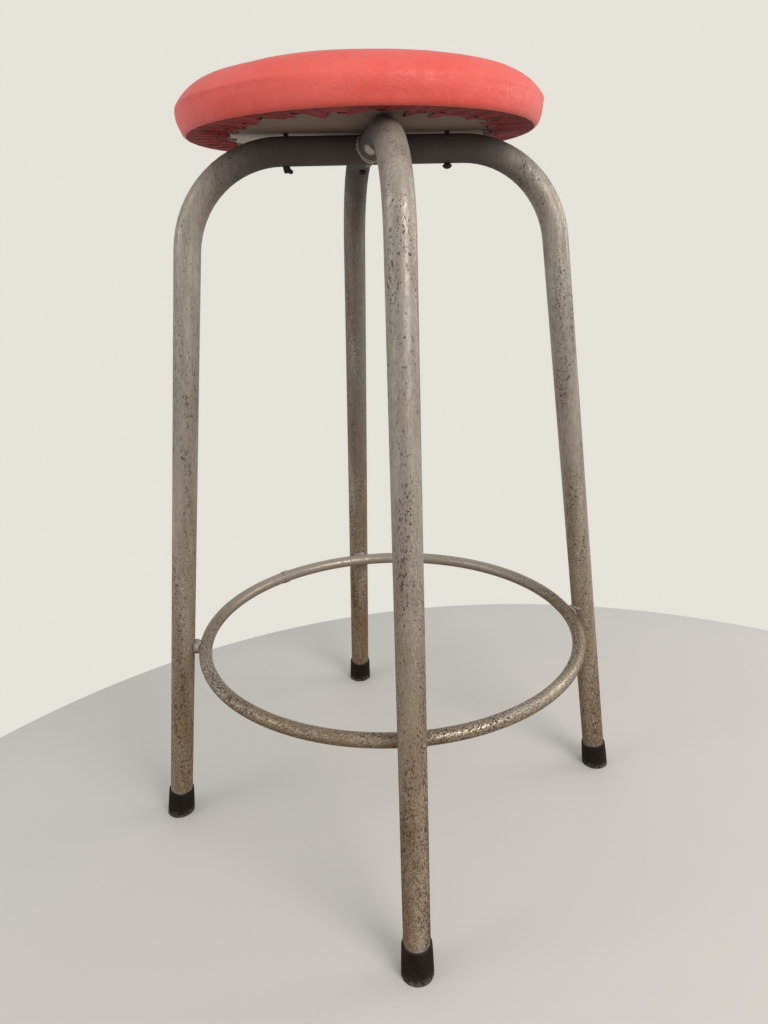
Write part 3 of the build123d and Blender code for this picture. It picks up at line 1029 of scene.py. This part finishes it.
def add_lumps(work, places):
    """Add closed lumps, each (middle, radius) or (middle, radius, stretch), for roughen to fuse."""
    for middle, radius, *stretch in places:
        shape = Matrix.Diagonal((*(stretch[0] if stretch else (1, 1, 1)), 1))
        place = Matrix.Translation(middle) @ shape
        bmesh.ops.create_icosphere(work, subdivisions=3, radius=radius, matrix=place)


def make_bead(node, name, lumps, seed, finish, extra=()):
    """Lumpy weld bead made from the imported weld's own solid, with extra lumps fused on."""
    obj = linked(bpy.data.objects.new(name, NODES[node].data.copy()))
    work = bmesh.new()
    work.from_mesh(obj.data)
    add_lumps(work, extra)
    work.to_mesh(obj.data)
    work.free()
    roughen(obj, lumps, seed)
    obj.data.materials.append(finish)
    finish_piece(obj, "weld_metal", node)


def lump_object(name, places):
    """Object made of lumps alone."""
    mesh = bpy.data.meshes.new(name)
    work = bmesh.new()
    add_lumps(work, places)
    work.to_mesh(mesh)
    work.free()
    return linked(bpy.data.objects.new(name, mesh))


def make_crossing_bead(side, lumps, seed):
    """Run of weld round the saddle where a front or rear tube meets the cross hoop."""
    way = -1 if side == "front" else 1
    low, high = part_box(f"{side}_leg")
    tube = (HOOP_HIGH.y - HOOP_LOW.y) / 2
    hoop_z, tube_z = HOOP_HIGH.z - tube, high.z - tube
    foot_x = leg_axis(side)[0].x
    tube_x = high.x - tube if foot_x < (low.x + high.x) / 2 else low.x + tube
    random = np.random.default_rng(seed)
    places = []
    for turn in np.linspace(math.radians(152), math.radians(388), 19):
        x = tube_x + tube * math.cos(turn)
        z = tube_z + tube * math.sin(turn)
        rise = max(-1.0, min(1.0, (z - hoop_z) / tube))
        y = way * (tube * math.sqrt(1 - rise * rise) + 0.0004)
        places.append((Vector((x, y, z)), random.uniform(0.0021, 0.0031)))
    dripped = Vector((tube_x - 0.0045, way * (tube + 0.0008), tube_z - 0.0085))
    places.append((dripped, 0.0031, (1.0, 0.7, 1.3)))
    places.append((Vector((tube_x - 0.0010, way * (tube + 0.0004), tube_z - 0.0140)), 0.0027))
    obj = lump_object(f"{side}_crossing_bead", places)
    roughen(obj, lumps, seed)
    obj.data.materials.append(weld_metal())
    finish_piece(obj, "weld_metal", f"{side}_crossing_weld")


# ---- seat screws ----

def cut_thread(obj, middle, low, high):
    """Add the threaded shank, from inside the head up to its point."""
    sides, pitch, rows_per_turn = 20, 0.0016, 6
    core, thread_height, point_length = 0.0020, 0.0005, 0.004
    work = bmesh.new()
    work.from_mesh(obj.data)
    rows = []
    for row in range(int((high - low - point_length) / (pitch / rows_per_turn))):
        z = low + row * pitch / rows_per_turn
        ring = []
        for k in range(sides):
            a = TAU * k / sides
            thread = 0.5 + 0.5 * math.cos(TAU * (z / pitch) - a)
            r = core + thread_height * thread ** 2
            ring.append(work.verts.new(middle + Vector((r * math.cos(a), r * math.sin(a), z))))
        rows.append(ring)
    for below, above in zip(rows, rows[1:]):
        for k in range(sides):
            t = (k + 1) % sides
            work.faces.new((below[k], below[t], above[t], above[k]))
    work.faces.new(list(reversed(rows[0])))
    point = work.verts.new(middle + Vector((0.0, 0.0, high)))
    for k in range(sides):
        work.faces.new((rows[-1][k], rows[-1][(k + 1) % sides], point))
    work.to_mesh(obj.data)
    work.free()


def make_screw(side, seed):
    """Round-headed screw, threaded where it crosses the gap; the left one is bent over and burred."""
    metal = bpy.context.scene.stool_frame
    low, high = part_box(f"seat_screw_{side}")
    middle = Vector(((low.x + high.x) / 2, (low.y + high.y) / 2, 0.0))
    head = (high.x - low.x) / 2
    under_tube = low.z + 0.0032
    burred = side == "left"
    if burred:
        places = [((-0.0014, 0.0, -0.0008), 0.0036, (1.0, 1.0, 0.9)),
                  ((-0.0022, 0.0, -0.0034), 0.0021, (1.0, 1.0, 1.3)),
                  ((0.0006, 0.0, -0.0032), 0.0025, (1.0, 1.1, 1.0)),
                  ((0.0026, 0.0, -0.0045), 0.0024, (1.0, 1.2, 0.9))]
    else:
        places = [((0.0, 0.0, -0.0012), head, (1.0, 1.0, 0.80)), ((0.0, 0.0, 0.0), 0.0026, (1.0, 1.0, 1.2))]
    lumps = [(middle + Vector((x, y, under_tube + z)), radius, stretch)
             for (x, y, z), radius, stretch in places]
    obj = lump_object(f"screw_{side}", lumps)
    if not burred:
        # the head's top face is flat against the tube
        points = read_points(obj.data)
        wide = np.hypot(points[:, 0] - middle.x, points[:, 1] - middle.y) > 0.0028
        points[:, 2] = np.where(wide, np.minimum(points[:, 2], under_tube - 0.0012), points[:, 2])
        write_points(obj.data, points)
    roughen(obj, 0.0003 if burred else 0.0001, seed)
    cut_thread(obj, middle, under_tube - 0.0005, high.z)
    obj.data.materials.append(plain_steel("blackened_screw", metal.screw_colour, metal.rust_colour, 0.4))
    finish_piece(obj, "screw_steel", f"seat_screw_{side}")


# ---- rubber tips ----

def leg_axis(side):
    """Middle and upward direction of a leg's end, from its washer."""
    points = read_points(NODES[f"tip_washer_{side}"].data)
    middle = (points.min(axis=0) + points.max(axis=0)) / 2
    _, _, ways = np.linalg.svd(points - points.mean(axis=0), full_matrices=False)
    up = Vector(ways[2])
    if up.z < 0:
        up = -up
    return Vector(middle), up


def tip_profile(tall, tube, top, bottom):
    """Points (radius, height) from the middle of the sole up the side, over the lip and down inside."""
    sunk, start, bulge = -0.004, -0.003, 0.00018
    profile = [(r, sunk) for r in (0.0, 0.006, 0.011, bottom - 0.0006)]
    for k in range(21):
        t = k / 20
        z = start + (tall - LIP_RISE - start) * t
        profile.append((bottom + (top - bottom) * t + bulge * math.sin(math.pi * t), z))
    lip = (top - tube) / 2
    for k in range(1, 9):
        a = math.pi * k / 8
        profile.append((top - lip + lip * math.cos(a), tall - LIP_RISE + LIP_RISE * math.sin(a)))
    inside = tube - 0.0002
    return profile + [(inside, tall - 0.004), (inside, tall - 0.009)]


def make_tip(side, seed):
    """Moulded cup: uneven sides, a rolled lip round the tube, a chamfered sole cut level."""
    middle, up = leg_axis(side)
    foot = middle - up * (middle.z / up.z)
    tall, tube, top, bottom = 0.032, 0.01272, 0.0144, 0.0155
    sides = 96
    first = up.orthogonal().normalized()
    second = up.cross(first)
    angles = np.linspace(0.0, TAU, sides, endpoint=False)
    wave = np.stack([np.cos(angles), np.sin(angles)], 1)
    edge_rise = lattice_noise(np.column_stack([wave * 1.4, np.full(sides, seed)]), 41) * 0.0009
    verts, faces = [], []
    for row, (r, z) in enumerate(tip_profile(tall, tube, top, bottom)):
        share_up = max(0.0, min(1.0, z / tall))
        dents = lattice_noise(np.column_stack([wave * 2, np.full(sides, z * 260 + seed)]), 43)
        outside = r > tube + 0.0004
        for k, a in enumerate(angles):
            seam = math.exp(-(math.sin(a + 0.4) / 0.035) ** 2) * 0.00022
            radius = r + (dents[k] * 0.00016 - 0.00014 + seam if outside else 0.0)
            point = foot + up * (z + edge_rise[k] * share_up ** 3)
            point = point + (first * math.cos(a) + second * math.sin(a)) * radius
            if point.z < 0.0:
                point = point - up * (point.z / up.z)
            verts.append(point)
        if row:
            base = (row - 1) * sides
            for k in range(sides):
                t = (k + 1) % sides
                faces.append((base + k, base + t, base + sides + t, base + sides + k))
    obj = mesh_object(f"rubber_tip_{side}", verts, faces)
    work = bmesh.new()
    work.from_mesh(obj.data)
    bmesh.ops.remove_doubles(work, verts=work.verts, dist=1e-6)
    bmesh.ops.dissolve_degenerate(work, edges=work.edges, dist=1e-7)
    bmesh.ops.recalc_face_normals(work, faces=work.faces)
    work.to_mesh(obj.data)
    work.free()
    obj.data.materials.append(rubber())
    finish_piece(obj, "black_rubber", f"tip_{side}")


# ---- stage ----

def make_camera(stage):
    camera = linked(bpy.data.objects.new("camera", bpy.data.cameras.new("camera")))
    camera.data.lens = stage.camera_lens
    camera.data.sensor_width = 36.0
    camera.data.clip_start = 0.01
    turn = Matrix.Rotation(-stage.camera_turn, 4, "Z")
    tilt = Matrix.Rotation(math.pi / 2 - stage.camera_tilt, 4, "X")
    roll = Matrix.Rotation(stage.camera_roll, 4, "Z")
    camera.matrix_world = Matrix.Translation(stage.camera_place) @ turn @ tilt @ roll
    bpy.context.scene.camera = camera


def make_floor(stage):
    """Round pale floor with a soft edge, level under the soles."""
    sides, edge = 192, 0.012
    middle = Vector((0.12, -0.42, 0.0))
    rows = [(stage.floor_radius * k / 12, 0.0) for k in range(1, 12)]
    rows += [(stage.floor_radius - edge + edge * math.sin(a), -edge + edge * math.cos(a))
             for a in np.linspace(0.0, math.pi / 2, 7)]
    rows.append((stage.floor_radius, -0.04))
    verts, faces = [middle], []
    for r, z in rows:
        verts += [middle + Vector((r * math.cos(TAU * k / sides), r * math.sin(TAU * k / sides), z))
                  for k in range(sides)]
    for k in range(sides):
        t = (k + 1) % sides
        faces.append((0, 1 + k, 1 + t))
        for row in range(len(rows) - 1):
            base = 1 + row * sides
            faces.append((base + k, base + sides + k, base + sides + t, base + t))
    floor = mesh_object("floor", verts, faces)

    def build(tree):
        place = straight_place(tree)
        clouds = drift(tree, place, 3.0)
        tone = blend_colours(tree, times(tree, clouds, 0.06), rgba(stage.floor_colour), CLOUDED_FLOOR)
        seen = put(tree, "ShaderNodeLightPath").outputs["Is Camera Ray"]
        tone = blend_colours(tree, seen, rgba(stage.bounce_colour), tone)
        return {"Base Color": tone, "Roughness": 0.6}
    floor.data.materials.append(new_material("pale_floor", build))


def make_softbox(name, place, target, size, power, tint):
    light = bpy.data.lights.new(name, "AREA")
    light.shape = "DISK"
    light.size = size
    light.energy = power
    light.color = tint
    obj = linked(bpy.data.objects.new(name, light))
    way = Vector(target) - Vector(place)
    obj.matrix_world = Matrix.Translation(place) @ way.to_track_quat("-Z", "Y").to_matrix().to_4x4()


def make_surroundings(stage):
    """Even light from all round, with a brighter plain background behind the stool."""
    world = bpy.data.worlds.new("plain_room")
    world.use_nodes = True
    tree = world.node_tree
    tree.nodes.clear()
    wall = {"Color": rgba(stage.wall_colour), "Strength": 1.0}
    room = {"Color": ROOM_LIGHT, "Strength": stage.ambient}
    seen = put(tree, "ShaderNodeBackground", wall).outputs[0]
    felt = put(tree, "ShaderNodeBackground", room).outputs[0]
    direct = put(tree, "ShaderNodeLightPath").outputs["Is Camera Ray"]
    mixed = put(tree, "ShaderNodeMixShader", {0: direct, 1: felt, 2: seen}).outputs[0]
    put(tree, "ShaderNodeOutputWorld", {"Surface": mixed})
    bpy.context.scene.world = world
    bpy.context.scene.view_settings.view_transform = "Standard"


# ---- operators ----

class STOOL_OT_stage(bpy.types.Operator):
    """Set up the camera, the pale floor and the soft lights."""
    bl_idname = "stool.stage"
    bl_label = "Stage"

    def execute(self, context):
        stage = context.scene.stool_stage
        make_camera(stage)
        make_floor(stage)
        make_surroundings(stage)
        for name, place, target_z, size, power, tint in (
                ("front_softbox", (1.05, -1.85, 1.60), 0.50, 1.4, stage.key_power, (1.0, 0.985, 0.95)),
                ("left_softbox", (-1.7, -0.5, 1.35), 0.60, 1.0, stage.left_power, (1.0, 0.99, 0.96)),
                ("side_softbox", (1.6, 0.2, 0.95), 0.45, 0.9, stage.fill_power, (1.0, 0.98, 0.95))):
            make_softbox(name, place, (0.0, 0.0, target_z), size, power, tint)
        return {"FINISHED"}


class STOOL_OT_seat(bpy.types.Operator):
    """Make the padded cover with its folded hem, and finish the board and foam in it."""
    bl_idname = "stool.seat"
    bl_label = "Upholstered seat"

    def execute(self, context):
        cover = make_cover(context.scene.stool_seat)
        make_staples(cover)
        dress("seat_board", plywood())
        dress("seat_foam", foam())
        return {"FINISHED"}


class STOOL_OT_frame(bpy.types.Operator):
    """Finish the bent tubes of the frame."""
    bl_idname = "stool.frame"
    bl_label = "Tube frame"

    def execute(self, context):
        metal = context.scene.stool_frame
        upright = (1.0, 1.0, 0.10)
        legs = steel("aged_steel", upright, metal.pitting, metal.steel_colour)
        dress("cross_hoop", legs)
        dress("front_leg", legs)
        # painted shade: the rear leg's steel is a darker copy of the legs' steel
        dress("rear_leg", steel("aged_steel_shaded_rear", upright, metal.pitting, metal.shaded_rear_steel_colour))
        return {"FINISHED"}


class STOOL_OT_footrest(bpy.types.Operator):
    """Finish the footrest ring."""
    bl_idname = "stool.footrest"
    bl_label = "Footrest ring"

    def execute(self, context):
        dress("footrest_ring", ring_finish())
        return {"FINISHED"}


class STOOL_OT_welds(bpy.types.Operator):
    """Make the lumpy weld beads at the crossing and round the ring."""
    bl_idname = "stool.welds"
    bl_label = "Welds"

    def execute(self, context):
        lumps = context.scene.stool_frame.weld_lumps
        for number, side in enumerate(SIDES):
            extra = RIGHT_WELD_RUN if side == "right" else []
            make_bead(f"ring_weld_{side}", f"ring_bead_{side}", lumps, 50 + 3 * number, weld_metal(), extra)
        make_crossing_bead("front", lumps, 71)
        make_crossing_bead("rear", lumps, 74)
        make_bead("ring_seam_weld", "ring_seam_bead", lumps * 0.4, 77, ring_finish())
        return {"FINISHED"}


class STOOL_OT_screws(bpy.types.Operator):
    """Make the four screws that hold the seat."""
    bl_idname = "stool.screws"
    bl_label = "Seat screws"

    def execute(self, context):
        for number, side in enumerate(SIDES):
            make_screw(side, 90 + number)
        return {"FINISHED"}


class STOOL_OT_tips(bpy.types.Operator):
    """Make the rubber tips and finish the washers inside them."""
    bl_idname = "stool.tips"
    bl_label = "Rubber tips"

    def execute(self, context):
        for number, side in enumerate(SIDES):
            make_tip(side, 5.0 + 2.7 * number)
            dress(f"tip_washer_{side}", plain_steel("zinc_washer", *ZINC_COLOURS, 0.35))
        return {"FINISHED"}


class STOOL_PT_sidebar(bpy.types.Panel):
    """Steps that build the stool, in order."""
    bl_idname = "STOOL_PT_sidebar"
    bl_label = "Bar stool"
    bl_space_type = "VIEW_3D"
    bl_region_type = "UI"
    bl_category = "Stool"

    def draw(self, context):
        for operator in OPERATORS:
            self.layout.operator(operator.bl_idname)
        for settings in ("stool_seat", "stool_frame", "stool_stage"):
            box = self.layout.box()
            group = getattr(context.scene, settings)
            for name in group.bl_rna.properties.keys():
                if name not in ("rna_type", "name"):
                    box.prop(group, name)


SETTINGS = {"stool_seat": StoolSeatSettings, "stool_frame": StoolFrameSettings,
            "stool_stage": StoolStageSettings}
OPERATORS = (STOOL_OT_stage, STOOL_OT_seat, STOOL_OT_frame, STOOL_OT_footrest, STOOL_OT_welds,
             STOOL_OT_screws, STOOL_OT_tips)


def register():
    for made in (*SETTINGS.values(), *OPERATORS, STOOL_PT_sidebar):
        bpy.utils.register_class(made)
    for name, group in SETTINGS.items():
        setattr(bpy.types.Scene, name, PointerProperty(type=group))


def unregister():
    for name in SETTINGS:
        delattr(bpy.types.Scene, name)
    for made in (STOOL_PT_sidebar, *reversed(OPERATORS), *SETTINGS.values()):
        bpy.utils.unregister_class(made)


def main():
    register()
    bpy.ops.stool.stage()
    bpy.ops.stool.seat()
    bpy.ops.stool.frame()
    bpy.ops.stool.footrest()
    bpy.ops.stool.welds()
    bpy.ops.stool.screws()
    bpy.ops.stool.tips()


if __name__ == "__main__":
    main()
